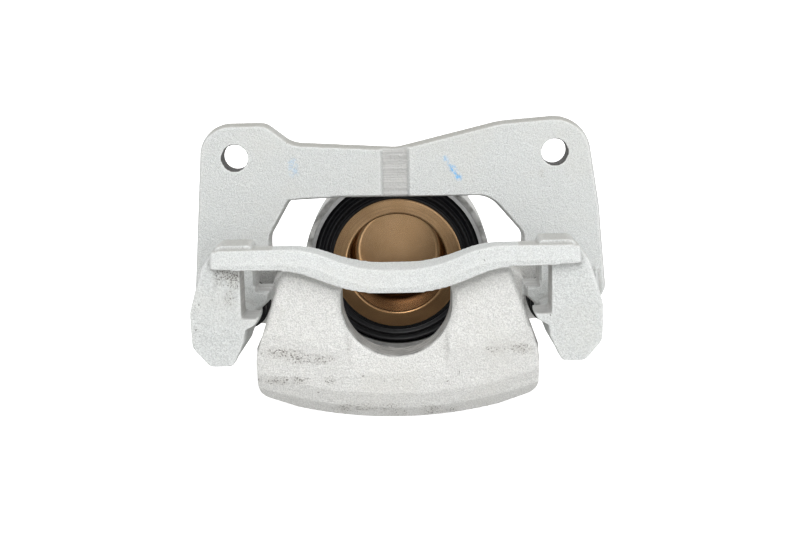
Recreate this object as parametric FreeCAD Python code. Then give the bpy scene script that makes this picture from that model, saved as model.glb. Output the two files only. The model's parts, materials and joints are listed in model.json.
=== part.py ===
"""Floating single-piston brake caliper with its anchor bracket.

Frame, in millimetres: the origin is midway between the two knuckle bolt holes, on the bracket's mounting face.
+Y points inboard, along the bolts and the piston. +Z points towards the wheel axis. +X is along the tie bar.
"""

import math
import os

import FreeCAD
import Part
from FreeCAD import Vector

# Driving dimensions
BOLT_SPACING = 140.0
BOLT_HOLE_R = 5.8
PISTON_R = 30.0
PISTON_Z = -53.0
WHEEL_Z = 75.0  # the wheel axis, which the disc and the bridge are centred on
PLATE_T = 12.0
PIN_X = 70.5
PIN_Z = -71.0
PIN_R = 4.6
RUNNING = 0.05  # radial clearance of a running fit

# Planes along Y, from outboard to inboard
BAR_FRONT = -70.2
EAR_FRONT = -66.0
FINGER_FRONT = -62.0
PIN_BORE_END = -61.0
BAR_BACK = -59.5
BAR_LEAN = 3.0  # how far the bar's top front edge is set back from its bottom front edge
EAR_BACK = -50.0
FINGER_BACK = -47.0
PIN_END = -46.0
PLATE_FRONT = -PLATE_T
PLATE_BACK = 0.0
EAR_INBOARD = 4.0
NECK_FACE = 8.0
PISTON_FACE = 14.0
RING_FACE = 16.0
SHOULDER_FACE = 19.0
BOOT_SHELF = 21.0
LUG_FACE = 32.0
LUG_BACK = 44.0
CUP_FLOOR = 50.0
PISTON_END = 58.0
BORE_END = 62.0
CYLINDER_END = 76.0

# Radii about the wheel axis
ARCH_R = 154.5
BRIDGE_IN_R = 161.0
FINGER_FOOT_R = 151.5  # where the fingers' upright face ends and the bridge starts to lean back
BEVEL_R = 169.5
BRIDGE_OUT_R = 182.2

# Radii about the piston axis
CYLINDER_R = 42.8
BOOT_SEAT_R = 40.3
BORE_R = PISTON_R + RUNNING
CUP_R = 22.8
FINGER_SLOT_R = 22.6
SLOT_DROP = 2.4  # how far the finger slot's centre is below the piston's
SLOT_MOUTH_R = 3.6
FINGER_EDGE_R = 2.6

# Radii about a guide pin
NECK_R = 7.0
BOSS_R = 8.6
PIN_BOOT_R = 11.0

# Ports in the end of the cylinder
HOSE_X, HOSE_Z = -15.0, -46.0
HOSE_R = 4.5
HOSE_DEPTH = 11.0
BLEEDER_X, BLEEDER_Z = 15.0, -38.0
BLEEDER_R = 4.0

# Pad slots
SLOT_X = 63.0
SLOT_BOTTOM = -59.3
OUTBOARD_SLOT_TOP = -39.5
INBOARD_SLOT_TOP = -44.5

DRAFT = 1.2
OVER = 1.0  # how far a cutting tool runs past the faces it cuts

OUT = "parts"


# Outlines and basic solids


def moved_sides(corners, grow):
    """The polygon of (x, z, radius) corners with every side moved outwards by grow."""
    n = len(corners)
    sides = []
    for i in range(n):
        x0, z0, _ = corners[i]
        x1, z1, _ = corners[(i + 1) % n]
        length = math.hypot(x1 - x0, z1 - z0)
        nx, nz = (z1 - z0) / length, -(x1 - x0) / length
        sides.append((nx, nz, nx * x0 + nz * z0 + grow))
    moved = []
    for i in range(n):
        ax, az, ad = sides[i - 1]
        bx, bz, bd = sides[i]
        turn = ax * bz - az * bx
        x = (ad * bz - bd * az) / turn
        z = (ax * bd - bx * ad) / turn
        radius = corners[i][2]
        if radius:
            radius = max(radius + (grow if turn > 0 else -grow), 0.2)
        moved.append((x, z, radius))
    return moved


def outline(corners, y, grow=0.0):
    """A closed wire in the plane Y = y, anticlockwise seen from outboard, with its corners rounded."""
    corners = moved_sides(corners, grow)
    n = len(corners)
    ends = []
    for i in range(n):
        x, z, radius = corners[i]
        corner = Vector(x, y, z)
        before = Vector(corners[i - 1][0], y, corners[i - 1][1]) - corner
        after = Vector(corners[(i + 1) % n][0], y, corners[(i + 1) % n][1]) - corner
        if radius <= 0:
            ends.append((corner, None, corner))
            continue
        before.normalize()
        after.normalize()
        half = before.getAngle(after) / 2
        reach = radius / math.tan(half)
        middle = before + after
        middle.normalize()
        apex = corner + middle * (radius / math.sin(half) - radius)
        ends.append((corner + before * reach, apex, corner + after * reach))
    edges = []
    for i in range(n):
        start, apex, end = ends[i]
        if apex:
            edges.append(Part.Arc(start, apex, end).toShape())
        edges.append(Part.LineSegment(end, ends[(i + 1) % n][0]).toShape())
    return Part.Wire(edges)


def prism(corners, y0, y1):
    """A solid with the outline, from the plane y0 to the plane y1."""
    return Part.Face(outline(corners, y0)).extrude(Vector(0, y1 - y0, 0))


def drafted(corners, y0, y1, draft=DRAFT):
    """A casting's solid: the outline is at its middle plane, and its walls lean in towards both faces."""
    middle = (y0 + y1) / 2
    wires = [outline(corners, y0, -draft), outline(corners, middle), outline(corners, y1, -draft)]
    return Part.makeLoft(wires, True, True)


def tapered(corners0, y0, corners1, y1):
    """A solid that runs straight from one outline to another with as many corners."""
    return Part.makeLoft([outline(corners0, y0), outline(corners1, y1)], True, True)


def mirrored(corners):
    """The same outline on the other side of the plane X = 0."""
    return [(-x, z, r) for x, z, r in reversed(corners)]


def rod(radius, y0, y1, x=0.0, z=0.0):
    """A round bar along Y."""
    return Part.makeCylinder(radius, y1 - y0, Vector(x, y0, z), Vector(0, 1, 0))


def ring_of(inner, outer, y0, y1, x=0.0, z=0.0):
    """A tube along Y."""
    return rod(outer, y0, y1, x, z).cut(rod(inner, y0 - OVER, y1 + OVER, x, z))


def box(x0, x1, y0, y1, z0, z1):
    return Part.makeBox(x1 - x0, y1 - y0, z1 - z0, Vector(x0, y0, z0))


def turned(profile, x=0.0, z=0.0):
    """The (radius, y) profile turned about an axis along Y."""
    points = [Vector(x + radius, y, z) for radius, y in profile]
    face = Part.Face(Part.makePolygon(points + points[:1]))
    return face.revolve(Vector(x, 0, z), Vector(0, 1, 0), 360)


def hexagon(across_flats, y0, y1, x=0.0, z=0.0):
    """A hexagonal bar along Y."""
    corner_r = across_flats / math.sqrt(3)
    points = []
    for i in range(7):
        angle = math.radians(60 * i)
        points.append(Vector(x + corner_r * math.cos(angle), y0, z + corner_r * math.sin(angle)))
    return Part.Face(Part.makePolygon(points)).extrude(Vector(0, y1 - y0, 0))


def joined(solids):
    """One solid from several that overlap."""
    whole = solids[0]
    for solid in solids[1:]:
        whole = whole.fuse(solid)
    return whole.removeSplitter()


def without(solid, tools):
    for tool in tools:
        solid = solid.cut(tool)
    return solid


# Anchor bracket

PLATE = [
    (-84.5, -78.0, 6.0),
    (-68.0, -83.0, 3.0),
    (-62.8, -70.0, 2.0),
    (-57.0, -64.6, 1.5),
    (-56.4, SLOT_BOTTOM, 0.4),
    (-SLOT_X, SLOT_BOTTOM, 0.6),
    (-SLOT_X, INBOARD_SLOT_TOP, 0.6),
    (-55.4, INBOARD_SLOT_TOP, 1.0),
    (-55.2, -35.0, 6.0),
    (-46.6, -19.9, 1.0),
    (-25.0, -19.0, 20.0),
    (41.4, -19.4, 12.0),
    (55.6, -36.0, 6.0),
    (55.0, INBOARD_SLOT_TOP, 1.0),
    (SLOT_X, INBOARD_SLOT_TOP, 0.6),
    (SLOT_X, SLOT_BOTTOM, 0.6),
    (56.4, SLOT_BOTTOM, 0.4),
    (57.0, -64.6, 1.5),
    (62.8, -70.0, 2.0),
    (68.0, -83.0, 3.0),
    (84.5, -78.0, 6.0),
    (93.4, -62.0, 5.0),
    (90.2, -24.0, 40.0),
    (83.9, 16.5, 17.0),
    (46.0, 13.8, 40.0),
    (1.0, 3.2, 12.0),
    (-44.6, 6.0, 12.0),
    (-56.0, 14.9, 8.0),
    (-84.8, 14.9, 14.5),
    (-91.0, -62.0, 5.0),
]

EAR = [
    (57.2, OUTBOARD_SLOT_TOP, 1.0),
    (SLOT_X, OUTBOARD_SLOT_TOP, 0.6),
    (SLOT_X, SLOT_BOTTOM, 0.6),
    (55.8, SLOT_BOTTOM, 0.4),
    (57.6, -62.9, 1.5),
    (61.8, -65.0, 1.5),
    (62.4, -69.8, 2.0),
    (67.4, -80.2, 2.0),
    (77.4, -80.2, 2.0),
    (84.6, -71.8, 5.0),
    (85.0, -57.0, 14.0),
    (79.4, -38.0, 10.0),
    (72.0, -29.0, 3.0),
    (58.0, -29.0, 2.0),
]

ARM_OUTBOARD = [
    (62.4, -69.8, 2.0),
    (67.4, -80.0, 2.0),
    (77.4, -80.0, 2.0),
    (83.8, -71.8, 5.0),
    (84.2, -57.0, 10.0),
    (79.6, -42.0, 2.0),
    (63.2, -58.0, 1.0),
]

ARM_INBOARD = [
    (62.6, -71.5, 2.0),
    (67.4, -84.4, 3.0),
    (79.0, -84.4, 3.0),
    (86.5, -78.0, 5.0),
    (91.4, -62.0, 5.0),
    (89.8, -42.0, 2.0),
    (63.2, -58.0, 1.0),
]


NOTCH_MOUTH = [(-6.9, -25.0, 0.0), (6.9, -25.0, 0.0), (6.9, 10.0, 0.0), (-6.9, 10.0, 0.0)]
NOTCH_FLOOR = [(-5.1, -25.0, 0.0), (5.1, -25.0, 0.0), (5.1, 10.0, 0.0), (-5.1, 10.0, 0.0)]
NOTCH_DEPTH = 2.4


def bar_outline(top_ends, top_middle, bottom_ends, bottom_middle):
    """The tie bar seen from outboard: level at its ends and hanging down in the middle."""
    right = [
        (16.0, bottom_middle, 60.0),
        (42.0, bottom_ends, 40.0),
        (57.0, bottom_ends, 20.0),
        (75.4, bottom_ends + 0.8, 0.25),
        (74.6, top_ends - 0.8, 0.25),
        (71.5, top_ends, 0.4),
        (36.0, top_ends, 40.0),
        (14.0, top_middle, 60.0),
    ]
    left = mirrored(right)
    return right + left


def tie_bar():
    """The bar that joins the two outboard ears. Its front face leans back, and so does its top in the middle."""
    foot = bar_outline(-36.6, -46.8, -39.4, -49.6)
    face = bar_outline(-31.2, -40.6, -39.2, -49.4)
    back = bar_outline(-30.6, -38.2, -39.2, -48.2)
    front = tapered(foot, BAR_FRONT, face, BAR_FRONT + BAR_LEAN)
    return front.fuse(tapered(face, BAR_FRONT + BAR_LEAN, back, BAR_BACK)).removeSplitter()


def disc_space():
    """The space that the brake disc turns in, cut out of the bracket's arms."""
    return rod(ARCH_R, EAR_BACK, PLATE_FRONT, z=WHEEL_Z)


def bracket_side(side):
    """One arm with its outboard ear, inboard ear and pin boss. side is 1 for +X and -1 for -X."""
    shapes = [EAR, ARM_OUTBOARD, ARM_INBOARD]
    if side < 0:
        shapes = [mirrored(s) for s in shapes]
    ear, arm_out, arm_in = shapes
    inboard_ear = box(56.4, 79.0, PLATE_BACK - OVER, EAR_INBOARD, -66.0, -42.0)
    slot = box(50.0, SLOT_X, PLATE_BACK - 2 * OVER, EAR_INBOARD + OVER, SLOT_BOTTOM, INBOARD_SLOT_TOP)
    inboard_ear = inboard_ear.cut(slot)
    if side < 0:
        inboard_ear = inboard_ear.mirror(Vector(0, 0, 0), Vector(1, 0, 0))
    boss = rod(BOSS_R, PLATE_BACK - OVER, EAR_INBOARD, side * PIN_X, PIN_Z)
    neck = rod(NECK_R, PLATE_BACK, NECK_FACE, side * PIN_X, PIN_Z)
    return [
        drafted(ear, EAR_FRONT, EAR_BACK, 0.4),
        tapered(arm_out, EAR_BACK - 4.0, arm_in, PLATE_BACK),
        inboard_ear,
        boss,
        neck,
    ]


def pad_slot(side, y0, y1, top):
    """The straight-sided slot that a pad's tab slides in."""
    x0, x1 = sorted((side * 50.0, side * SLOT_X))
    return box(x0, x1, y0, y1, SLOT_BOTTOM, top)


def anchor_bracket():
    plate = drafted(PLATE, PLATE_FRONT, PLATE_BACK)
    solids = [plate, tie_bar()]
    for side in (-1, 1):
        solids += bracket_side(side)
    tools = [disc_space()]
    tools.append(tapered(NOTCH_MOUTH, PLATE_FRONT - OVER, NOTCH_FLOOR, PLATE_FRONT + NOTCH_DEPTH))
    for side in (-1, 1):
        tools.append(pad_slot(side, EAR_FRONT - OVER, EAR_BACK + OVER, OUTBOARD_SLOT_TOP))
        tools.append(pad_slot(side, PLATE_FRONT - OVER, EAR_INBOARD + OVER, INBOARD_SLOT_TOP))
        hole_x = side * BOLT_SPACING / 2
        tools.append(rod(BOLT_HOLE_R, PLATE_FRONT - OVER, PLATE_BACK + OVER, hole_x))
        tools.append(rod(PIN_R + RUNNING, PIN_BORE_END, NECK_FACE + OVER, side * PIN_X, PIN_Z))
    return without(joined(solids), tools)


# Caliper housing

BRIDGE_FOOT = [
    (1.0, -109.0, 0.0),
    (36.0, -104.6, 0.0),
    (58.8, -96.0, 6.5),
]

FINGER_HALF = BRIDGE_FOOT + [
    (58.8, -77.5, 18.0),
    (47.0, -41.2, 3.0),
    (38.5, -42.8, 8.0),
    (15.0, -53.0, 0.0),
]

WEB_HALF = [
    (21.0, -92.0, 4.0),
    (19.5, -50.0, 0.0),
]
WEB_DEPTH = 1.3

BRIDGE_HALF = BRIDGE_FOOT + [
    (58.8, -64.0, 0.0),
    (1.0, -60.0, 0.0),
]

SHOULDER_HALF = BRIDGE_FOOT + [
    (58.8, -61.0, 6.0),
    (40.0, -50.0, 4.0),
    (20.0, -46.0, 0.0),
]

LUG = [
    (45.0, -90.0, 0.0),
    (60.0, -85.0, 10.0),
    (80.5, -83.5, 11.0),
    (83.5, -59.0, 11.0),
    (45.0, -52.0, 0.0),
]


def edges_in_plane(shape, y):
    """The edges that lie wholly in the plane Y = y."""
    found = []
    for edge in shape.Edges:
        low, high = edge.BoundBox.YMin, edge.BoundBox.YMax
        if abs(low - y) < 0.01 and abs(high - y) < 0.01:
            found.append(edge)
    return found


def within_bridge(solid):
    """The part of a solid inside the bridge's outer radius, with the bridge's front edge bevelled."""
    bevel = [
        (0.0, FINGER_FRONT),
        (FINGER_FOOT_R, FINGER_FRONT),
        (BEVEL_R, FINGER_FRONT + 2.6),
        (BEVEL_R + 7.0, FINGER_FRONT + 5.6),
        (BRIDGE_OUT_R, FINGER_FRONT + 11.5),
        (BRIDGE_OUT_R, LUG_BACK + 20.0),
        (0.0, LUG_BACK + 20.0),
    ]
    return solid.common(turned(bevel, z=WHEEL_Z))


def finger_slot():
    """The U-shaped slot between the fingers, with a rounded mouth."""
    z = PISTON_Z - SLOT_DROP
    flare = FINGER_SLOT_R + SLOT_MOUTH_R
    inner = Vector(FINGER_SLOT_R, FINGER_FRONT + SLOT_MOUTH_R, z)
    middle = Vector(flare - SLOT_MOUTH_R * math.sqrt(0.5), FINGER_FRONT + SLOT_MOUTH_R * (1 - math.sqrt(0.5)), z)
    outer = Vector(flare, FINGER_FRONT, z)
    corners = [outer, Vector(flare, FINGER_FRONT - OVER, z), Vector(0, FINGER_FRONT - OVER, z),
               Vector(0, FINGER_BACK + OVER, z), Vector(FINGER_SLOT_R, FINGER_BACK + OVER, z), inner]
    edges = [Part.Arc(inner, middle, outer).toShape()]
    for a, b in zip(corners, corners[1:]):
        edges.append(Part.LineSegment(a, b).toShape())
    half = Part.Face(Part.Wire(edges))
    top = half.extrude(Vector(0, 0, 40.0))
    top = top.fuse(top.mirror(Vector(0, 0, 0), Vector(1, 0, 0)))
    return top.fuse(half.revolve(Vector(0, 0, z), Vector(0, 1, 0), 360)).removeSplitter()


def tool_relief():
    """The clearance turned into the bridge, so that a tool can reach the ring face and the boot seat."""
    profile = [(0.0, -20.0), (33.0, -20.0), (CYLINDER_R, -8.0), (CYLINDER_R, RING_FACE), (0.0, RING_FACE)]
    return turned(profile, z=PISTON_Z)


def fingers():
    """The two fingers that pull the outboard pad, with the U-shaped slot between them."""
    corners = FINGER_HALF + mirrored(FINGER_HALF)
    plate = within_bridge(prism(corners, FINGER_FRONT, FINGER_BACK))
    outer_edges = []
    for edge in edges_in_plane(plate, FINGER_FRONT):
        if min(abs(edge.BoundBox.XMin), abs(edge.BoundBox.XMax)) > FINGER_SLOT_R:
            outer_edges.append(edge)
    plate = plate.makeFillet(FINGER_EDGE_R, outer_edges)
    web = WEB_HALF + mirrored(WEB_HALF)
    wide = [(x + math.copysign(2.2, x), z, r) for x, z, r in web]
    web_cut = tapered(wide, FINGER_FRONT - OVER, web, FINGER_FRONT + WEB_DEPTH)
    return without(plate, [web_cut, finger_slot()])


def bridge():
    """The curved bridge that passes round the outside of the disc."""
    arc = ring_of(BRIDGE_IN_R, BRIDGE_OUT_R, FINGER_BACK - 8.0, LUG_BACK, z=WHEEL_Z)
    return within_bridge(arc.common(prism(BRIDGE_HALF + mirrored(BRIDGE_HALF), FINGER_BACK - 8.0, LUG_BACK)))


def cylinder():
    """The outside of the cylinder, with a rounded closed end."""
    profile = [
        (0.0, RING_FACE),
        (CYLINDER_R, RING_FACE),
        (CYLINDER_R, 50.0),
        (41.5, 60.0),
        (38.0, 68.0),
        (32.0, CYLINDER_END),
        (0.0, CYLINDER_END),
    ]
    return turned(profile, z=PISTON_Z)


def bore():
    """Everything turned out of the cylinder: boot seat, seal groove and bore."""
    profile = [
        (0.0, RING_FACE - OVER),
        (BOOT_SEAT_R, RING_FACE - OVER),
        (BOOT_SEAT_R, BOOT_SHELF),
        (BORE_R, BOOT_SHELF),
        (BORE_R, 28.0),
        (33.4, 28.0),
        (33.4, 31.5),
        (BORE_R, 31.5),
        (BORE_R, BORE_END),
        (0.0, BORE_END),
    ]
    return turned(profile, z=PISTON_Z)


def caliper_housing():
    shoulders = within_bridge(prism(SHOULDER_HALF + mirrored(SHOULDER_HALF), SHOULDER_FACE, 48.0))
    solids = [fingers(), bridge(), cylinder(), shoulders]
    for corners in (LUG, mirrored(LUG)):
        solids.append(prism(corners, LUG_FACE, LUG_BACK))
    port_end = CYLINDER_END + OVER
    tools = [
        tool_relief(),
        bore(),
        rod(HOSE_R, CYLINDER_END - HOSE_DEPTH, port_end, HOSE_X, HOSE_Z),
        rod(1.5, BORE_END - OVER, port_end, HOSE_X, HOSE_Z),
        rod(BLEEDER_R + RUNNING, CYLINDER_END - 10.0, port_end, BLEEDER_X, BLEEDER_Z),
        rod(1.2, BORE_END - OVER, port_end, BLEEDER_X, BLEEDER_Z),
    ]
    for side in (-1, 1):
        tools.append(rod(4.3, LUG_FACE - OVER, LUG_BACK + OVER, side * PIN_X, PIN_Z))
    return without(joined(solids), tools)


# Piston and its seals


def piston():
    """A cup with a groove round its mouth for the dust boot."""
    profile = [
        (0.0, CUP_FLOOR),
        (CUP_R - 5.0, CUP_FLOOR),
        (CUP_R - 1.6, CUP_FLOOR - 1.4),
        (CUP_R, CUP_FLOOR - 5.0),
        (CUP_R, PISTON_FACE + 2.2),
        (CUP_R + 1.6, PISTON_FACE),
        (PISTON_R - 0.8, PISTON_FACE),
        (PISTON_R, PISTON_FACE + 0.8),
        (PISTON_R, 16.5),
        (28.2, 16.5),
        (28.2, 19.5),
        (PISTON_R, 19.5),
        (PISTON_R, PISTON_END - 1.5),
        (PISTON_R - 1.5, PISTON_END),
        (0.0, PISTON_END),
    ]
    return turned(profile, z=PISTON_Z)


def piston_seal():
    """The square-section seal in the bore's groove."""
    return ring_of(PISTON_R + 0.02, 33.35, 28.2, 31.3, z=PISTON_Z)


def piston_dust_boot():
    """The folded rubber boot between the piston's groove and the boot seat."""
    profile = [
        (28.25, 16.6),
        (31.2, 16.6),
        (31.9, 15.5),
        (33.1, 15.5),
        (33.8, 18.2),
        (34.4, 18.2),
        (35.1, 15.9),
        (36.3, 15.9),
        (36.9, 18.4),
        (37.6, 17.2),
        (38.2, 17.2),
        (38.2, 19.0),
        (40.1, 19.0),
        (40.1, 20.9),
        (35.9, 20.9),
        (35.4, 17.6),
        (35.1, 20.2),
        (33.2, 20.2),
        (32.5, 17.4),
        (32.0, 19.4),
        (28.25, 19.4),
    ]
    return turned(profile, z=PISTON_Z)


def boot_retaining_ring():
    """The metal ring that holds the boot's outer bead in its seat."""
    return ring_of(38.6, BOOT_SEAT_R, 16.3, 18.9, z=PISTON_Z)


# Guide pins


def guide_pin(side, bushed):
    """A guide pin with a boot groove, a hexagon against the lug and a threaded end. One has a bushing seat."""
    profile = [
        (0.0, PIN_END),
        (PIN_R - 0.8, PIN_END),
        (PIN_R, PIN_END + 0.8),
        (PIN_R, 23.0),
        (NECK_R, 23.0),
        (NECK_R, 24.2),
        (6.2, 24.2),
        (6.2, 27.2),
        (NECK_R, 27.2),
        (NECK_R, 29.0),
        (0.0, 29.0),
    ]
    x = side * PIN_X
    pin = turned(profile, x, PIN_Z).fuse(hexagon(14.0, 28.0, LUG_FACE, x, PIN_Z))
    pin = pin.cut(rod(3.4, 14.0, LUG_FACE + OVER, x, PIN_Z))
    if bushed:
        pin = pin.cut(ring_of(3.6, PIN_R + OVER, -43.0, -29.0, x, PIN_Z))
    return pin


def pin_bushing():
    """The rubber sleeve near the end of the right guide pin, which stops it rattling."""
    sleeve = ring_of(3.62, PIN_R + 0.02, -42.8, -29.2, PIN_X, PIN_Z)
    for y in (-39.6, -36.0, -32.4):
        sleeve = sleeve.cut(ring_of(4.1, PIN_R + OVER, y - 0.6, y + 0.6, PIN_X, PIN_Z))
    return sleeve


def pin_bolt(side):
    """The flanged hexagon bolt that holds the lug to the guide pin."""
    x = side * PIN_X
    flange = turned([(0.0, LUG_BACK), (8.6, LUG_BACK), (8.6, LUG_BACK + 1.0), (6.6, LUG_BACK + 2.2),
                     (0.0, LUG_BACK + 2.2)], x, PIN_Z)
    head = hexagon(13.0, LUG_BACK + 1.0, LUG_BACK + 8.0, x, PIN_Z)
    head = head.common(turned([(0.0, LUG_BACK), (7.6, LUG_BACK), (7.6, LUG_BACK + 7.0), (6.2, LUG_BACK + 8.0),
                               (0.0, LUG_BACK + 8.0)], x, PIN_Z))
    shank = rod(3.35, 16.0, LUG_BACK + 1.0, x, PIN_Z)
    return joined([flange, head, shank])


def pin_boot(side):
    """The bellows over a guide pin, from the bracket's neck to the groove in the pin."""
    outer, root, wall = PIN_BOOT_R, 7.7, 1.3
    profile = [(NECK_R + 0.02, 4.4), (PIN_BOOT_R - 1.0, 4.4), (PIN_BOOT_R - 1.0, 7.6)]
    folds = 4
    pitch = (23.8 - 8.4) / folds
    for i in range(folds):
        profile.append((root + wall, 8.4 + pitch * i))
        profile.append((outer, 8.4 + pitch * (i + 0.35)))
        profile.append((outer, 8.4 + pitch * (i + 0.65)))
    profile.append((root + wall, 24.0))
    profile.append((root + wall, 27.0))
    profile.append((6.25, 27.0))
    profile.append((6.25, 24.4))
    profile.append((NECK_R + 0.2, 24.4))
    profile.append((NECK_R + 0.2, 22.9))
    profile.append((root, 22.6))
    for i in reversed(range(folds)):
        profile.append((outer - wall, 8.4 + pitch * (i + 0.55)))
        profile.append((outer - wall, 8.4 + pitch * (i + 0.45)))
        profile.append((root, 8.4 + pitch * i))
    return turned(profile, side * PIN_X, PIN_Z)


# Bleeder


def bleeder_screw():
    """The bleeder screw: a tapered seat, a threaded body, a hexagon and a barbed nipple."""
    base = CYLINDER_END
    profile = [
        (0.0, base - 9.8),
        (1.0, base - 9.8),
        (2.6, base - 8.0),
        (BLEEDER_R, base - 8.0),
        (BLEEDER_R, base + 1.0),
        (3.4, base + 1.0),
        (3.4, base + 7.5),
        (2.7, base + 8.5),
        (2.7, base + 12.5),
        (3.6, base + 13.5),
        (2.6, base + 16.0),
        (0.0, base + 16.0),
    ]
    body = turned(profile, BLEEDER_X, BLEEDER_Z)
    screw = body.fuse(hexagon(9.0, base + 1.4, base + 6.8, BLEEDER_X, BLEEDER_Z))
    return screw.cut(rod(0.9, base - 6.0, base + 16.0 + OVER, BLEEDER_X, BLEEDER_Z))


def bleeder_cap():
    """The rubber cap pushed over the nipple."""
    base = CYLINDER_END
    outside = turned([(0.0, base + 8.0), (5.0, base + 8.0), (5.0, base + 10.0), (4.7, base + 10.6),
                      (4.7, base + 17.6), (3.6, base + 18.6), (0.0, base + 18.6)], BLEEDER_X, BLEEDER_Z)
    return outside.cut(rod(3.65, base + 7.0, base + 16.4, BLEEDER_X, BLEEDER_Z))


SUBPARTS = {
    "anchor_bracket": anchor_bracket,
    "caliper_housing": caliper_housing,
    "piston": piston,
    "piston_seal": piston_seal,
    "piston_dust_boot": piston_dust_boot,
    "boot_retaining_ring": boot_retaining_ring,
    "left_guide_pin": lambda: guide_pin(-1, False),
    "right_guide_pin": lambda: guide_pin(1, True),
    "pin_bushing": pin_bushing,
    "left_pin_bolt": lambda: pin_bolt(-1),
    "right_pin_bolt": lambda: pin_bolt(1),
    "left_pin_boot": lambda: pin_boot(-1),
    "right_pin_boot": lambda: pin_boot(1),
    "bleeder_screw": bleeder_screw,
    "bleeder_cap": bleeder_cap,
}


def main():
    os.makedirs(OUT, exist_ok=True)
    for name, make in SUBPARTS.items():
        shape = make()
        print(name, "valid", shape.isValid(), "solids", len(shape.Solids), "volume", round(shape.Volume))
        shape.exportStep(f"{OUT}/{name}.step")


main()
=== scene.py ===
"""The look of a floating brake caliper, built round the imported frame. Metres throughout."""

import json
import math

import bpy
import numpy as np
from mathutils import Matrix, Vector, noise


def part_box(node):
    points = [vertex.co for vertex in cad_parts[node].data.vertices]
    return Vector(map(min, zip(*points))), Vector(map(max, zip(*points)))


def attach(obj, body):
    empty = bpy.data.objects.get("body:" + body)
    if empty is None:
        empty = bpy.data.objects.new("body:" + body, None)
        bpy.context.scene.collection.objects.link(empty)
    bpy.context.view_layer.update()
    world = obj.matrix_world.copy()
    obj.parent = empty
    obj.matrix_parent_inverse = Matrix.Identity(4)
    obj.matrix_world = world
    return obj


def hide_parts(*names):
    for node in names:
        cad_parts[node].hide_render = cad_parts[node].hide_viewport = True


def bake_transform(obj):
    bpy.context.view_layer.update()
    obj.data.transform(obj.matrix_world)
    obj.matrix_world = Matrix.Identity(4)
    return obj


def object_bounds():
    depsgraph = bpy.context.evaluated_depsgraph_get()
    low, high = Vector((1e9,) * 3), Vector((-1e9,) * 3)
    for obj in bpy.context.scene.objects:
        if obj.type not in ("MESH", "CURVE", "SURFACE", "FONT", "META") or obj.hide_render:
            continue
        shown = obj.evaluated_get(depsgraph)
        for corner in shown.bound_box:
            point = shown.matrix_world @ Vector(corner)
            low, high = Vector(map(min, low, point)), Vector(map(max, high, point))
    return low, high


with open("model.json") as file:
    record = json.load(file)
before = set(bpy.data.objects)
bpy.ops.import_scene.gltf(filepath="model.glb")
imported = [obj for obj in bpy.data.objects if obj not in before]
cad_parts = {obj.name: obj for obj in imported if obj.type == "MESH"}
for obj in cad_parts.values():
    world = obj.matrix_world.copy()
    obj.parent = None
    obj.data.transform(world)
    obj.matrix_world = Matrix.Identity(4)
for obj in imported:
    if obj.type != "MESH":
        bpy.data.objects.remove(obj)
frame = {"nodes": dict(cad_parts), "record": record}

CAD_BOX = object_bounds()
NODES = frame["nodes"]
MM = 0.001

# The camera's place, aim and lens, in the part's own frame
CAMERA_PLACE = Vector((0.00683, -0.64029, 0.07095))
CAMERA_DOWN = math.radians(10.9)
CAMERA_TURN = math.radians(0.5)
CAMERA_ROLL = math.radians(-1.2)
FOCAL_LENGTH = 64.9
SENSOR_WIDTH = 36.0

# Places on the object. The axis of the piston runs along Y.
PISTON_LOW, PISTON_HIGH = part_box("piston")
PISTON_AXIS = ((PISTON_LOW[0] + PISTON_HIGH[0]) / 2, (PISTON_LOW[2] + PISTON_HIGH[2]) / 2)
FLOOR_Z = CAD_BOX[0][2]
KNUCKLE_HOLE_X = 70.0 * MM
FINGER_SLOT_Z = -55.4 * MM

# How fine the castings are, and how deep their sand-cast skin goes
CAST_VOXEL = 0.6 * MM
SKIN_DEPTH = 0.1 * MM
SKIN_SCALE = 600.0
CREASE_FULL = 0.25


# Meshes


def cast_mesh(node, voxel):
    """The node's solid as an even net of quads, with its creases still in place."""
    source = NODES[node]
    work = bpy.data.objects.new("work", source.data.copy())
    bpy.context.scene.collection.objects.link(work)
    remesh = work.modifiers.new("even", "REMESH")
    remesh.mode = "VOXEL"
    remesh.voxel_size = voxel
    bpy.context.view_layer.update()
    graph = bpy.context.evaluated_depsgraph_get()
    mesh = bpy.data.meshes.new_from_object(work.evaluated_get(graph))
    bpy.data.objects.remove(work)
    return mesh


def creases(mesh, rounds=3):
    """How sharply the skin turns at each vertex: above 0 on outside edges, below 0 in inside corners."""
    points = coordinates(mesh)
    facing = normals(mesh)
    a, b = neighbours(mesh)
    count = np.bincount(a, minlength=len(points)) + np.bincount(b, minlength=len(points))
    count = np.maximum(count, 1)
    gap = points[b] - points[a]
    turn = np.bincount(a, -(gap * facing[a]).sum(axis=1), len(points))
    turn += np.bincount(b, (gap * facing[b]).sum(axis=1), len(points))
    turn /= count * np.sqrt((gap ** 2).sum(axis=1)).mean()
    for step in range(rounds):
        near = np.bincount(a, turn[b], len(points)) + np.bincount(b, turn[a], len(points))
        turn = 0.5 * turn + 0.5 * near / count
    return turn


def neighbours(mesh):
    """The two ends of every edge."""
    ends = np.empty(len(mesh.edges) * 2, dtype=np.int32)
    mesh.edges.foreach_get("vertices", ends)
    return ends.reshape(-1, 2).T


def coordinates(mesh):
    flat = np.empty(len(mesh.vertices) * 3, dtype=np.float32)
    mesh.vertices.foreach_get("co", flat)
    return flat.reshape(-1, 3).astype(np.float64)


def normals(mesh):
    flat = np.empty(len(mesh.vertices) * 3, dtype=np.float32)
    mesh.vertices.foreach_get("normal", flat)
    return flat.reshape(-1, 3).astype(np.float64)


def set_coordinates(mesh, points):
    mesh.vertices.foreach_set("co", points.astype(np.float32).ravel())
    mesh.update()


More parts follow.
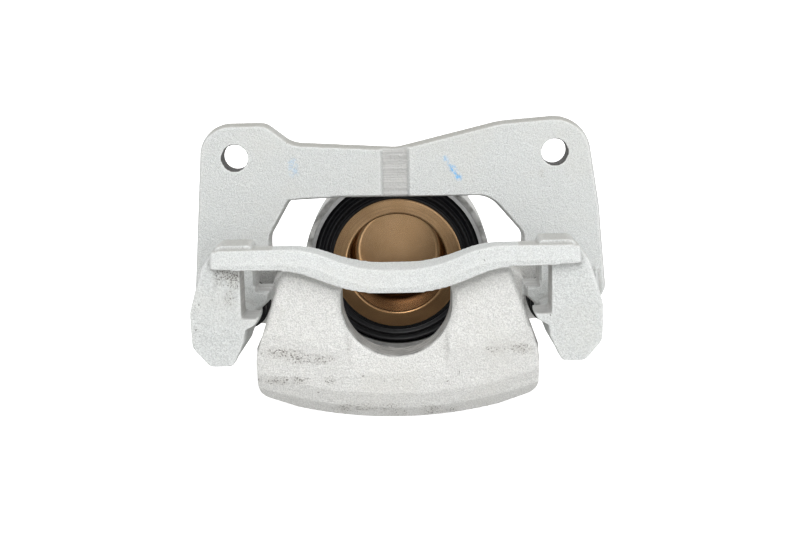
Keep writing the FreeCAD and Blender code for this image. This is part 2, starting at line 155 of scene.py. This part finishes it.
def soften(mesh, rounds, share, back=0.52):
    """Rounds the creases: each vertex moves its share of the way to its neighbours' middle.

    Every second round steps back, so that the piece doesn't shrink. With no step back it melts more.
    """
    points = coordinates(mesh)
    a, b = neighbours(mesh)
    count = np.bincount(a, minlength=len(points)) + np.bincount(b, minlength=len(points))
    count = np.maximum(count, 1)[:, None]
    for step in range(rounds):
        factor = 0.5 if step % 2 == 0 else -back
        total = np.zeros_like(points)
        for axis in range(3):
            total[:, axis] = np.bincount(a, points[b, axis], len(points))
            total[:, axis] += np.bincount(b, points[a, axis], len(points))
        points += (total / count - points) * factor * share[:, None]
    set_coordinates(mesh, points)


def grain(points, scale, octaves):
    """Smooth noise from about -1 to 1 at each point."""
    seen = points * scale
    return np.array([noise.fractal(p, 1.0, 2.0, octaves) for p in seen])


def roughen(mesh, share, depth, scale, octaves=3):
    """Sand-cast skin: the surface sinks by up to the depth, where the share says."""
    points = coordinates(mesh)
    sink = np.clip(0.5 + 0.5 * grain(points, scale, octaves), 0.0, 1.0)
    points -= normals(mesh) * (sink * share * depth)[:, None]
    set_coordinates(mesh, points)


def keep_inside(mesh):
    """Holds every vertex within the CAD's overall box."""
    points = coordinates(mesh)
    low, high = np.array(CAD_BOX[0]), np.array(CAD_BOX[1])
    set_coordinates(mesh, np.clip(points, low, high))


def away_from_axis(points, x, z, near, far):
    """0 within near of an axis along Y, 1 beyond far."""
    distance = np.hypot(points[:, 0] - x, points[:, 2] - z)
    return np.clip((distance - near) / (far - near), 0.0, 1.0)


# Materials


class Graph:
    """A short way to write a node tree."""

    def __init__(self, name):
        self.material = bpy.data.materials.new(name)
        self.material.use_nodes = True
        self.tree = self.material.node_tree
        self.shader = self.tree.nodes["Principled BSDF"]
        self.place = self.add("ShaderNodeTexCoord").outputs["Object"]

    def add(self, kind, **settings):
        node = self.tree.nodes.new(kind)
        for name, value in settings.items():
            setattr(node, name, value)
        return node

    def put(self, socket, value):
        if isinstance(value, bpy.types.NodeSocket):
            self.tree.links.new(value, socket)
        else:
            socket.default_value = value

    def noise(self, scale, detail=3.0, roughness=0.55, place=None):
        node = self.add("ShaderNodeTexNoise")
        self.put(node.inputs["Vector"], place or self.place)
        node.inputs["Scale"].default_value = scale
        node.inputs["Detail"].default_value = detail
        node.inputs["Roughness"].default_value = roughness
        return node.outputs["Fac"]

    def span(self, value, low, high, to_low=0.0, to_high=1.0):
        """A smooth step: to_low up to low, and to_high from high on."""
        node = self.add("ShaderNodeMapRange")
        node.interpolation_type = "SMOOTHSTEP"
        self.put(node.inputs["Value"], value)
        node.inputs["From Min"].default_value = low
        node.inputs["From Max"].default_value = high
        node.inputs["To Min"].default_value = to_low
        node.inputs["To Max"].default_value = to_high
        return node.outputs["Result"]

    def math(self, operation, a, b=0.0):
        node = self.add("ShaderNodeMath", operation=operation)
        self.put(node.inputs[0], a)
        self.put(node.inputs[1], b)
        return node.outputs[0]

    def mix(self, factor, a, b):
        node = self.add("ShaderNodeMix", data_type="RGBA")
        self.put(node.inputs["Factor"], factor)
        self.put(node.inputs["A"], (*a, 1.0) if isinstance(a, tuple) else a)
        self.put(node.inputs["B"], (*b, 1.0) if isinstance(b, tuple) else b)
        return node.outputs["Result"]

    def split(self):
        node = self.add("ShaderNodeSeparateXYZ")
        self.put(node.inputs[0], self.place)
        return node.outputs

    def attribute(self, name):
        node = self.add("ShaderNodeAttribute", attribute_name=name)
        return node.outputs["Fac"]

    def bump(self, height, strength, distance):
        node = self.add("ShaderNodeBump")
        self.put(node.inputs["Height"], height)
        node.inputs["Strength"].default_value = strength
        node.inputs["Distance"].default_value = distance
        self.put(self.shader.inputs["Normal"], node.outputs["Normal"])

    def surface(self, color, roughness, metallic=0.0, specular=None):
        if isinstance(color, tuple):
            color = (*color, 1.0)
        self.put(self.shader.inputs["Base Color"], color)
        self.put(self.shader.inputs["Roughness"], roughness)
        self.shader.inputs["Metallic"].default_value = metallic
        if specular is not None:
            self.shader.inputs["Specular IOR Level"].default_value = specular


def cast_material(name, cut_scale, cut_dark, sand_scale, dark, bright, edge_wear_and_highlight):
    """Zinc-coated casting: pale grey with a sandy grain, and stained, pitted, cut or inked where marked."""
    grit_grey, warm_grey, hole_wall_black = (0.44, 0.44, 0.43), (0.66, 0.65, 0.60), (0.10, 0.095, 0.09)
    stain_brown, dust_and_shade_brown, pit_brown = (0.50, 0.45, 0.38), (0.36, 0.345, 0.30), (0.09, 0.075, 0.06)
    worn_and_highlight_white, corner_dirt_and_shade = (0.95, 0.95, 0.94), (0.22, 0.205, 0.185)
    cut_bright, ink_blue = (0.60, 0.60, 0.585), (0.11, 0.46, 0.84)
    g = Graph(name)
    sand = g.noise(sand_scale, 2.0, 0.7)
    grit = g.noise(900.0, 3.0, 0.7)
    cloudy = g.noise(40.0, 4.0, 0.6)
    base = g.mix(g.span(sand, 0.36, 0.64), dark, bright)
    base = g.mix(g.span(grit, 0.60, 0.78, 0.0, 0.3), base, grit_grey)
    base = g.mix(g.span(cloudy, 0.42, 0.72, 0.0, 0.25), base, warm_grey)
    broken = g.span(g.noise(110.0, 4.0, 0.65), 0.34, 0.62)
    stain = g.math("MULTIPLY", g.attribute("stain"), broken)
    base = g.mix(g.math("MULTIPLY", stain, 0.22), base, stain_brown)
    # Upward faces painted duller and browner: partly dust, partly painted shade on the tops.
    dusty_and_shaded = g.math("MULTIPLY", g.attribute("dust"), g.span(grit, 0.3, 0.7, 0.7, 1.0))
    base = g.mix(dusty_and_shaded, base, dust_and_shade_brown)
    dots = g.math("ADD", g.noise(1500.0, 2.0, 0.6), g.math("MULTIPLY", stain, 0.09))
    pits = g.math("MULTIPLY", g.span(dots, 0.60, 0.66), g.span(stain, 0.05, 0.4))
    specks = g.span(g.noise(420.0, 2.0, 0.6), 0.745, 0.77)
    pits = g.math("MAXIMUM", pits, specks)
    # Outside edges painted lighter: partly wear of the coating, partly painted highlight.
    base = g.mix(g.math("MULTIPLY", g.attribute("edge"), edge_wear_and_highlight), base, worn_and_highlight_white)
    # Inside corners and creases painted darker: partly dirt, partly painted shade.
    base = g.mix(g.math("MULTIPLY", g.attribute("corner"), 0.75), base, corner_dirt_and_shade)
    base = g.mix(g.math("MULTIPLY", pits, 0.75), base, pit_brown)
    lines = g.add("ShaderNodeMapping")
    g.put(lines.inputs["Vector"], g.place)
    lines.inputs["Scale"].default_value = cut_scale
    cut = g.noise(1.0, 2.0, 0.6, lines.outputs[0])
    cut_color = g.mix(g.span(cut, 0.3, 0.7), cut_dark, cut_bright)
    off_edges = g.span(g.attribute("edge"), 0.3, 0.8, 1.0, 0.0)
    machined = g.math("MULTIPLY", g.attribute("machined"), off_edges)
    base = g.mix(machined, base, cut_color)
    # The bolt holes' walls are painted nearly black.
    base = g.mix(g.attribute("bare"), base, hole_wall_black)
    ink = g.math("MULTIPLY", g.attribute("ink"), g.span(g.noise(600.0, 3.0, 0.7), 0.38, 0.62))
    base = g.mix(ink, base, ink_blue)
    g.surface(base, g.span(grit, 0.3, 0.7, 0.60, 0.42), metallic=0.3)
    height = g.math("ADD", sand, g.math("MULTIPLY", grit, 1.6))
    height = g.math("SUBTRACT", height, g.math("MULTIPLY", pits, 1.5))
    g.bump(height, 0.9, 0.00045)
    return g.material


def piston_material():
    """Bronze-coloured turned metal, with faint rings from the lathe and a lower half darkened with painted
    shade.
    """
    ring_dark, ring_bright = (0.34, 0.215, 0.115), (0.44, 0.285, 0.155)
    mottle_brown, lower_shade_brown = (0.34, 0.21, 0.105), (0.20, 0.115, 0.055)
    ring_pitch = 60.0
    lower_shade_depth = 22.0 * MM
    g = Graph("piston_bronze")
    x, y, z = g.split()
    dx = g.math("SUBTRACT", x, PISTON_AXIS[0])
    dz = g.math("SUBTRACT", z, PISTON_AXIS[1])
    radius = g.math("SQRT", g.math("ADD", g.math("POWER", dx, 2.0), g.math("POWER", dz, 2.0)))
    lathe = g.add("ShaderNodeCombineXYZ")
    g.put(lathe.inputs["X"], g.math("MULTIPLY", radius, ring_pitch))
    g.put(lathe.inputs["Y"], g.math("MULTIPLY", y, ring_pitch))
    rings = g.noise(60.0, 3.0, 0.6, lathe.outputs[0])
    base = g.mix(g.span(rings, 0.3, 0.7), ring_dark, ring_bright)
    mottled = g.span(g.noise(110.0, 5.0, 0.65), 0.38, 0.62, 0.0, 0.55)
    base = g.mix(mottled, base, mottle_brown)
    # Painted shade: the piston darkens towards the bottom.
    lower_shade = g.span(dz, 0.0, -lower_shade_depth, 0.0, 0.9)
    base = g.mix(lower_shade, base, lower_shade_brown)
    g.surface(base, 0.24, metallic=1.0)
    return g.material


def rubber_material():
    """Black rubber with a faint sheen."""
    g = Graph("boot_rubber")
    fine = g.noise(700.0, 3.0, 0.6)
    base = g.mix(g.span(fine, 0.3, 0.7), (0.004, 0.004, 0.005), (0.010, 0.010, 0.011))
    g.surface(base, g.span(fine, 0.3, 0.7, 0.28, 0.42), specular=0.22)
    g.bump(g.noise(1400.0, 3.0, 0.6), 0.08, 0.0002)
    return g.material


def steel_material(name, color, roughness):
    """Zinc-plated or bare steel, with a slight mottle."""
    g = Graph(name)
    mottle = g.noise(220.0, 4.0, 0.6)
    dark = tuple(c * 0.8 for c in color)
    shade = g.mix(g.span(mottle, 0.3, 0.7), dark, color)
    g.surface(shade, g.span(mottle, 0.3, 0.7, roughness + 0.1, roughness), metallic=1.0)
    g.bump(g.noise(900.0, 3.0, 0.6), 0.1, 0.0002)
    return g.material


def floor_material():
    """Matt white for the floor and the wall. It glows a little, so the object's shadow stays faint."""
    material = bpy.data.materials.new("studio_floor")
    material.use_nodes = True
    tree = material.node_tree
    shader = tree.nodes["Principled BSDF"]
    shader.inputs["Base Color"].default_value = (0.9, 0.9, 0.9, 1.0)
    shader.inputs["Roughness"].default_value = 1.0
    shader.inputs["Specular IOR Level"].default_value = 0.0
    shader.inputs["Emission Color"].default_value = (1.0, 1.0, 1.0, 1.0)
    shader.inputs["Emission Strength"].default_value = 0.85
    return material


# Pieces


def dress(obj, material):
    """Puts one material on every slot of an object."""
    if not obj.data.materials:
        obj.data.materials.append(material)
    for slot in obj.material_slots:
        slot.material = material


def casting(node, body, machined, name, material):
    """A cast piece that stands for its CAD node, with machined places left true.

    Its creases are rounded, its skin is sand-cast, and its attributes tell the material what is where.
    """
    mesh = cast_mesh(node, CAST_VOXEL)
    mesh.name = name
    mask = machined(coordinates(mesh), normals(mesh))
    rough = 1.0 - mask
    turn = creases(mesh)
    soften(mesh, 8, np.clip(rough, 0.15, 1.0))
    if MELTED[node]:
        melt = sum(blob(coordinates(mesh), *spot) for spot in MELTED[node])
        soften(mesh, 60, np.clip(melt * 2.0, 0.0, 1.0), 0.0)
    roughen(mesh, rough, SKIN_DEPTH, SKIN_SCALE)
    keep_inside(mesh)
    skin = coordinates(mesh)
    layers = {
        "machined": mask,
        "stain": stains(node, skin),
        # dust: upward faces, which the material paints duller as dust and painted shade
        "dust": dust(skin, normals(mesh)),
        "ink": ink_marks(node, skin),
        # edge: outside edges, which the material paints lighter as wear and painted highlight
        "edge": np.clip(turn / CREASE_FULL, 0.0, 1.0),
        # corner: inside corners, which the material paints darker as dirt and painted shade
        "corner": np.clip(-turn / CREASE_FULL, 0.0, 1.0),
        # bare: the bolt holes' walls, which the material paints nearly black
        "bare": hole_walls(skin, normals(mesh)) * (node == "anchor_bracket"),
    }
    for layer_name, values in layers.items():
        layer = mesh.attributes.new(layer_name, "FLOAT", "POINT")
        layer.data.foreach_set("value", values.astype(np.float32))
    piece = bpy.data.objects.new(name, mesh)
    bpy.context.scene.collection.objects.link(piece)
    mesh.materials.clear()
    mesh.materials.append(material)
    mesh.shade_smooth()
    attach(piece, body)
    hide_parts(node)


def blob(points, x, y, z, rx, ry, rz):
    """1 at a place, falling smoothly to 0 at the radii along each axis. All in millimetres."""
    offset = (points / MM - np.array([x, y, z])) / np.array([rx, ry, rz])
    distance = np.sqrt((offset ** 2).sum(axis=1))
    return np.clip(1.0 - distance, 0.0, 1.0) ** 0.7


# Where the casting is blended generously: the bar's ends, where they run into the ears.
# Each is x, y, z, and how far it reaches along each, in millimetres.
MELTED = {
    "anchor_bracket": [
        (-82.0, -68.0, -38.0, 9.0, 9.0, 11.0),
        (82.0, -68.0, -38.0, 9.0, 9.0, 11.0),
    ],
    "caliper_housing": [],
}


# Where the coating is dirty or pitted, given in the same way
STAINS = {
    "anchor_bracket": [
        (-69.0, -66.0, -44.0, 6.0, 4.0, 12.0),
        (-66.0, -66.0, -42.0, 4.0, 4.0, 6.0),
        (64.8, -12.0, -9.6, 2.6, 4.0, 2.6),
    ],
    "caliper_housing": [
        (-48.0, -61.0, -76.5, 12.0, 6.0, 3.2),
        (-38.0, -61.0, -78.5, 14.0, 6.0, 3.0),
        (46.0, -61.0, -76.0, 11.0, 6.0, 3.5),
        (-50.0, -60.0, -88.0, 16.0, 8.0, 2.6),
        (-12.0, -54.0, -102.0, 24.0, 12.0, 3.5),
        (10.0, -54.0, -103.5, 20.0, 12.0, 3.5),
        (-28.0, -56.0, -88.0, 5.0, 6.0, 3.0),
        (-34.0, 16.0, -27.0, 8.0, 4.0, 10.0),
    ],
}


# Paint-pen marks on the plate's front face: x0, z0, x1, z1 and width in millimetres, and strength
INK = {
    "anchor_bracket": [
        (21.8, -1.5, 25.6, -7.0, 1.2, 0.5),
        (25.2, -6.2, 28.0, -10.5, 1.7, 1.0),
        (-44.8, -2.5, -44.2, -7.0, 2.6, 0.35),
    ],
    "caliper_housing": [],
}


def ink_marks(node, points):
    """How much ink is on each point."""
    inside_plate = -11.0
    total = np.zeros(len(points))
    x, y, z = (points / MM).T
    for x0, z0, x1, z1, width, strength in INK[node]:
        dx, dz = x1 - x0, z1 - z0
        t = np.clip(((x - x0) * dx + (z - z0) * dz) / (dx * dx + dz * dz), 0.0, 1.0)
        distance = np.hypot(x - x0 - t * dx, z - z0 - t * dz)
        mark = np.clip(1.5 - 1.5 * distance / width, 0.0, 1.0) * strength
        total = np.maximum(total, np.where(y < inside_plate, mark, 0.0))
    return total


def dust(points, facing):
    """Duller upward faces, partly dust and partly painted shade: most on the plate's top edge, less on the
    lands at the ends of the tie bar.
    """
    on_plate, on_land, elsewhere = 0.75, 0.55, 0.1
    x, y, z = (points / MM).T
    upward = np.clip((facing[:, 2] - 0.55) / 0.3, 0.0, 1.0)
    plate_edge = (y > -13.0) & (y < 1.0) & (z > 0.0)
    land = (y < -49.0) & (y > -68.0) & (np.abs(x) > 50.0)
    return upward * np.where(plate_edge, on_plate, np.where(land, on_land, elsewhere))


def stains(node, points):
    """How stained each point is."""
    total = np.zeros(len(points))
    for spot in STAINS[node]:
        total = np.maximum(total, blob(points, *spot))
    return total


def hole_walls(points, facing):
    """1 on the walls of the two bolt holes."""
    walls = np.zeros(len(points))
    for side in (-1, 1):
        near = 1.0 - away_from_axis(points, side * KNUCKLE_HOLE_X, 0.0, 6.0 * MM, 6.5 * MM)
        walls = np.maximum(walls, np.where(np.abs(facing[:, 1]) < 0.6, near, 0.0))
    return walls


def bracket_machined(points, facing):
    """Where the bracket is machined: its bolt holes, its pad slots and the notch in the plate."""
    x, y, z = points.T
    notch = (np.abs(x) < 5.3 * MM) & (y < -9 * MM) & (y > -13 * MM) & (facing[:, 1] < -0.2)
    slots = (np.abs(x) > 55 * MM) & (np.abs(x) < 63.4 * MM) & (z > -60 * MM) & (z < -39 * MM)
    return np.maximum(hole_walls(points, facing), (notch | slots).astype(float))


def housing_machined(points, facing):
    """Where the housing is machined: its ring face, its bore and the wall of the finger slot."""
    x, y, z = points.T
    radius = np.hypot(x - PISTON_AXIS[0], z - PISTON_AXIS[1])
    ring_face = (radius < 43.0 * MM) & (y > 15.7 * MM) & (y < 17 * MM)
    bore = (radius < 41 * MM) & (y > 15 * MM) & (y < 63 * MM)
    from_slot = np.hypot(x, z - FINGER_SLOT_Z)
    slot_wall = (from_slot < 23.2 * MM) & (y < -46 * MM) & (facing[:, 1] > -0.5)
    return (ring_face | bore | slot_wall).astype(float)


def lathe(name, profile, axis, turns=128):
    """A ring turned from a closed (radius, y) profile about an axis along Y, through (x, z)."""
    ax, az = axis
    vertices = []
    for step in range(turns):
        angle = 2 * math.pi * step / turns
        vertices += [(ax + r * math.cos(angle), y, az + r * math.sin(angle)) for r, y in profile]
    n = len(profile)
    faces = []
    for step in range(turns):
        here, there = step * n, (step + 1) % turns * n
        faces += [(here + i, here + (i + 1) % n, there + (i + 1) % n, there + i) for i in range(n)]
    mesh = bpy.data.meshes.new(name)
    mesh.from_pydata(vertices, [], faces)
    mesh.shade_smooth()
    piece = bpy.data.objects.new(name, mesh)
    bpy.context.scene.collection.objects.link(piece)
    return piece


def quarter(center, radius, start, end, steps=8):
    """Points on an arc about center, from one angle to another in degrees."""
    angles = [math.radians(start + (end - start) * i / steps) for i in range(steps + 1)]
    return [(center[0] + radius * math.cos(a), center[1] + radius * math.sin(a)) for a in angles]


def turned_piston(material):
    """The piston, with the edges of its cup rounded as a lathe tool leaves them. All in millimetres."""
    skin_r, cup_r, center_r = 30.0, 22.8, 0.02
    front, cup_floor, back = 14.0, 50.0, 58.0
    floor_round, cup_lip, skin_lip, chamfer = 4.5, 1.2, 0.8, 1.5
    groove_r, groove_front, groove_back = 28.2, 16.5, 19.5
    flat = 0.2
    profile = [(center_r, cup_floor), (18.0, cup_floor)]
    profile += quarter((cup_r - floor_round, cup_floor - floor_round), floor_round, 90, 0)
    profile += [(cup_r, 45.0), (cup_r, front + cup_lip + flat)]
    profile += quarter((cup_r + cup_lip, front + cup_lip), cup_lip, 180, 270)
    profile += [(cup_r + cup_lip + flat, front), (skin_r - skin_lip - flat, front)]
    profile += quarter((skin_r - skin_lip, front + skin_lip), skin_lip, 270, 360)
    profile += [(skin_r, groove_front), (groove_r, groove_front)]
    profile += [(groove_r, groove_back), (skin_r, groove_back)]
    profile += [(skin_r, back - chamfer), (skin_r - chamfer, back), (center_r, back)]
    piece = lathe("turned_piston", [(r * MM, y * MM) for r, y in profile], PISTON_AXIS, 192)
    piece.data.set_sharp_from_angle(angle=math.radians(30.0))
    piece.data.materials.append(material)
    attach(piece, "piston")
    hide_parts("piston")


def wave(start, end, count, steps, size):
    """Points of a sine wave from start to end; size is its height on the left of the way."""
    (x0, y0), (x1, y1) = start, end
    length = math.hypot(x1 - x0, y1 - y0)
    nx, ny = -(y1 - y0) / length, (x1 - x0) / length
    points = []
    for i in range(steps + 1):
        t = i / steps
        lift = size * math.sin(2 * math.pi * count * t)
        points.append((x0 + (x1 - x0) * t + nx * lift, y0 + (y1 - y0) * t + ny * lift))
    return points


def dust_boot(material):
    """The piston's dust boot: a bead in the piston's groove, two rolled folds and a bead in the boot seat.

    Its folds slope inboard as they go out, so the outer ones hardly move with the piston and clear the
    bracket. All in millimetres.
    """
    folds, steps, fold_height = 2.0, 48, 0.85
    front = wave((31.0, 15.4), (37.6, 17.6), folds, steps, fold_height)
    back = wave((37.0, 19.6), (31.2, 17.5), folds, steps, -fold_height)
    piston_bead_front = [(28.3, 16.7), (29.6, 16.55)]
    seat_bead = [(38.1, 17.6), (38.2, 19.0), (40.0, 19.1), (40.1, 20.7), (37.6, 20.8)]
    piston_bead_back = [(30.0, 19.4), (28.3, 19.3)]
    profile = piston_bead_front + front + seat_bead + back + piston_bead_back
    boot = lathe("dust_boot", [(r * MM, y * MM) for r, y in profile], PISTON_AXIS, 192)
    boot.data.materials.append(material)
    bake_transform(boot)
    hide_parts("piston_dust_boot")


def pin_boot(side, material):
    """A guide pin's bellows, from the bracket's neck to the groove in the pin. All in millimetres."""
    node = ("left" if side < 0 else "right") + "_pin_boot"
    low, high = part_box(node)
    axis = ((low[0] + high[0]) / 2, (low[2] + high[2]) / 2)
    crest = (high[0] - low[0]) / 2 / MM
    half_fold, wall = 1.5, 1.1
    middle = crest - half_fold - 0.2
    folds, steps = 4, 48
    first, last = 8.2, 23.0
    outer, inner = [], []
    for i in range(steps + 1):
        t = i / steps
        radius = middle - half_fold * math.cos(2 * math.pi * folds * t)
        y = first + (last - first) * t
        outer.append((radius, y))
        inner.append((radius - wall, y))
    neck_cuff = [(7.1, 4.5), (9.4, 4.5), (9.9, 5.0), (9.9, 7.2)]
    pin_cuff = [(9.0, 23.9), (9.0, 26.8), (8.6, 27.1), (6.3, 27.1), (6.3, 24.5), (7.3, 24.5), (7.3, 23.6)]
    profile = neck_cuff + outer + pin_cuff + inner[::-1] + [(7.1, 7.6)]
    boot = lathe(node.replace("_pin_boot", "_bellows"), [(r * MM, y * MM) for r, y in profile], axis, 64)
    boot.data.materials.append(material)
    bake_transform(boot)
    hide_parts(node)


def build_materials():
    """One material for each slot of the record, and one of the housing's own."""
    plate_cuts, plate_cut_dark = (30.0, 30.0, 1500.0), (0.46, 0.46, 0.45)
    plate_dark, plate_bright = (0.54, 0.555, 0.55), (0.74, 0.76, 0.75)
    bore_cuts, bore_cut_dark = (150.0, 1500.0, 150.0), (0.20, 0.20, 0.19)
    housing_dark, housing_bright = (0.60, 0.60, 0.585), (0.84, 0.84, 0.82)
    return {
        "cast_plated": cast_material(
            "cast_coating", plate_cuts, plate_cut_dark, 2100.0, plate_dark, plate_bright, 0.8
        ),
        "housing_cast": cast_material(
            "housing_coating", bore_cuts, bore_cut_dark, 1900.0, housing_dark, housing_bright, 0.3
        ),
        "piston_finish": piston_material(),
        "black_rubber": rubber_material(),
        "ring_steel": steel_material("ring_steel", (0.42, 0.42, 0.42), 0.35),
        "pin_steel": steel_material("pin_zinc", (0.62, 0.62, 0.60), 0.25),
        "bolt_steel": steel_material("bolt_zinc", (0.62, 0.60, 0.52), 0.3),
        "bleeder_steel": steel_material("bleeder_zinc", (0.62, 0.61, 0.58), 0.3),
    }


def dress_nodes(materials):
    """Every carried-over CAD node gets the material of its slot in the record."""
    slots = {part["node"]: part["material_slot"] for part in frame["record"]["subparts"]}
    for node, slot in slots.items():
        dress(NODES[node], materials[slot])


# Studio


def area_light(name, place, aim, width, depth, power):
    """A soft rectangular lamp at a place, turned to its aim."""
    data = bpy.data.lights.new(name, "AREA")
    data.shape = "RECTANGLE"
    data.size = width
    data.size_y = depth
    data.energy = power
    lamp = bpy.data.objects.new(name, data)
    lamp.location = place
    lamp.rotation_euler = (Vector(aim) - Vector(place)).to_track_quat("-Z", "Y").to_euler()
    bpy.context.scene.collection.objects.link(lamp)


def stage_mesh(name, vertices, faces, material):
    """A stage surface that the camera sees but that lights nothing."""
    mesh = bpy.data.meshes.new(name)
    mesh.from_pydata(vertices, [], faces)
    mesh.materials.append(material)
    surface = bpy.data.objects.new(name, mesh)
    bpy.context.scene.collection.objects.link(surface)
    surface.visible_diffuse = False
    surface.visible_glossy = False
    return surface


def backdrop():
    """A white floor with a round white wall far behind it on every side."""
    white = floor_material()
    reach, wall_radius, wall_height, turns = 12.0, 10.0, 9.0, 64
    corners = [(-reach, -reach), (reach, -reach), (reach, reach), (-reach, reach)]
    stage_mesh("floor", [(x, y, FLOOR_Z) for x, y in corners], [(0, 1, 2, 3)], white)
    ring = []
    for step in range(turns):
        angle = 2 * math.pi * step / turns
        x, y = wall_radius * math.cos(angle), wall_radius * math.sin(angle)
        ring += [(x, y, FLOOR_Z), (x, y, FLOOR_Z + wall_height)]
    count = len(ring)
    sides = [(i, i + 1, (i + 3) % count, (i + 2) % count) for i in range(0, count, 2)]
    wall = stage_mesh("wall", ring, sides, white)
    wall.visible_shadow = False


def sky():
    """The light from all round: a little brighter above than below."""
    world = bpy.data.worlds.new("studio")
    world.use_nodes = True
    nodes, links = world.node_tree.nodes, world.node_tree.links
    ramp = nodes.new("ShaderNodeValToRGB")
    below, above = ramp.color_ramp.elements[0], ramp.color_ramp.elements[1]
    below.position = 0.30
    below.color = (0.72, 0.72, 0.71, 1.0)
    above.position = 0.60
    above.color = (0.86, 0.86, 0.86, 1.0)
    place = nodes.new("ShaderNodeTexCoord")
    height = nodes.new("ShaderNodeSeparateXYZ")
    half = nodes.new("ShaderNodeMapRange")
    half.inputs["From Min"].default_value = -1.0
    links.new(place.outputs["Generated"], height.inputs[0])
    links.new(height.outputs["Z"], half.inputs["Value"])
    links.new(half.outputs["Result"], ramp.inputs["Fac"])
    links.new(ramp.outputs["Color"], nodes["Background"].inputs["Color"])
    nodes["Background"].inputs["Strength"].default_value = 0.92
    bpy.context.scene.world = world


def studio():
    """The backdrop, the sky and four soft lamps."""
    backdrop()
    sky()
    middle = (0.0, -0.02, -0.05)
    area_light("key", (-0.2, -0.95, 0.62), middle, 0.45, 0.45, 5.8)
    area_light("fill", (0.35, -0.9, -0.1), middle, 0.6, 0.6, 2.6)
    area_light("strip", (0.0, -0.9, 1.1), middle, 1.0, 0.08, 1.6)
    area_light("side", (0.85, -0.15, 0.1), middle, 0.4, 0.4, 1.4)


def camera():
    """The camera that the main picture is taken with."""
    data = bpy.data.cameras.new("camera")
    data.lens = FOCAL_LENGTH
    data.sensor_width = SENSOR_WIDTH
    obj = bpy.data.objects.new("camera", data)
    turn = Matrix.Rotation(CAMERA_TURN, 4, "Z")
    tilt = Matrix.Rotation(math.pi / 2 - CAMERA_DOWN, 4, "X")
    roll = Matrix.Rotation(CAMERA_ROLL, 4, "Z")
    obj.matrix_world = Matrix.Translation(CAMERA_PLACE) @ turn @ tilt @ roll
    bpy.context.scene.collection.objects.link(obj)
    bpy.context.scene.camera = obj


materials = build_materials()
dress_nodes(materials)
turned_piston(materials["piston_finish"])
casting("anchor_bracket", "bracket", bracket_machined, "bracket_casting", materials["cast_plated"])
casting("caliper_housing", "caliper", housing_machined, "housing_casting", materials["housing_cast"])
dust_boot(materials["black_rubber"])
for side in (-1, 1):
    pin_boot(side, materials["black_rubber"])
studio()
camera()
bpy.context.scene.view_settings.view_transform = "Standard"
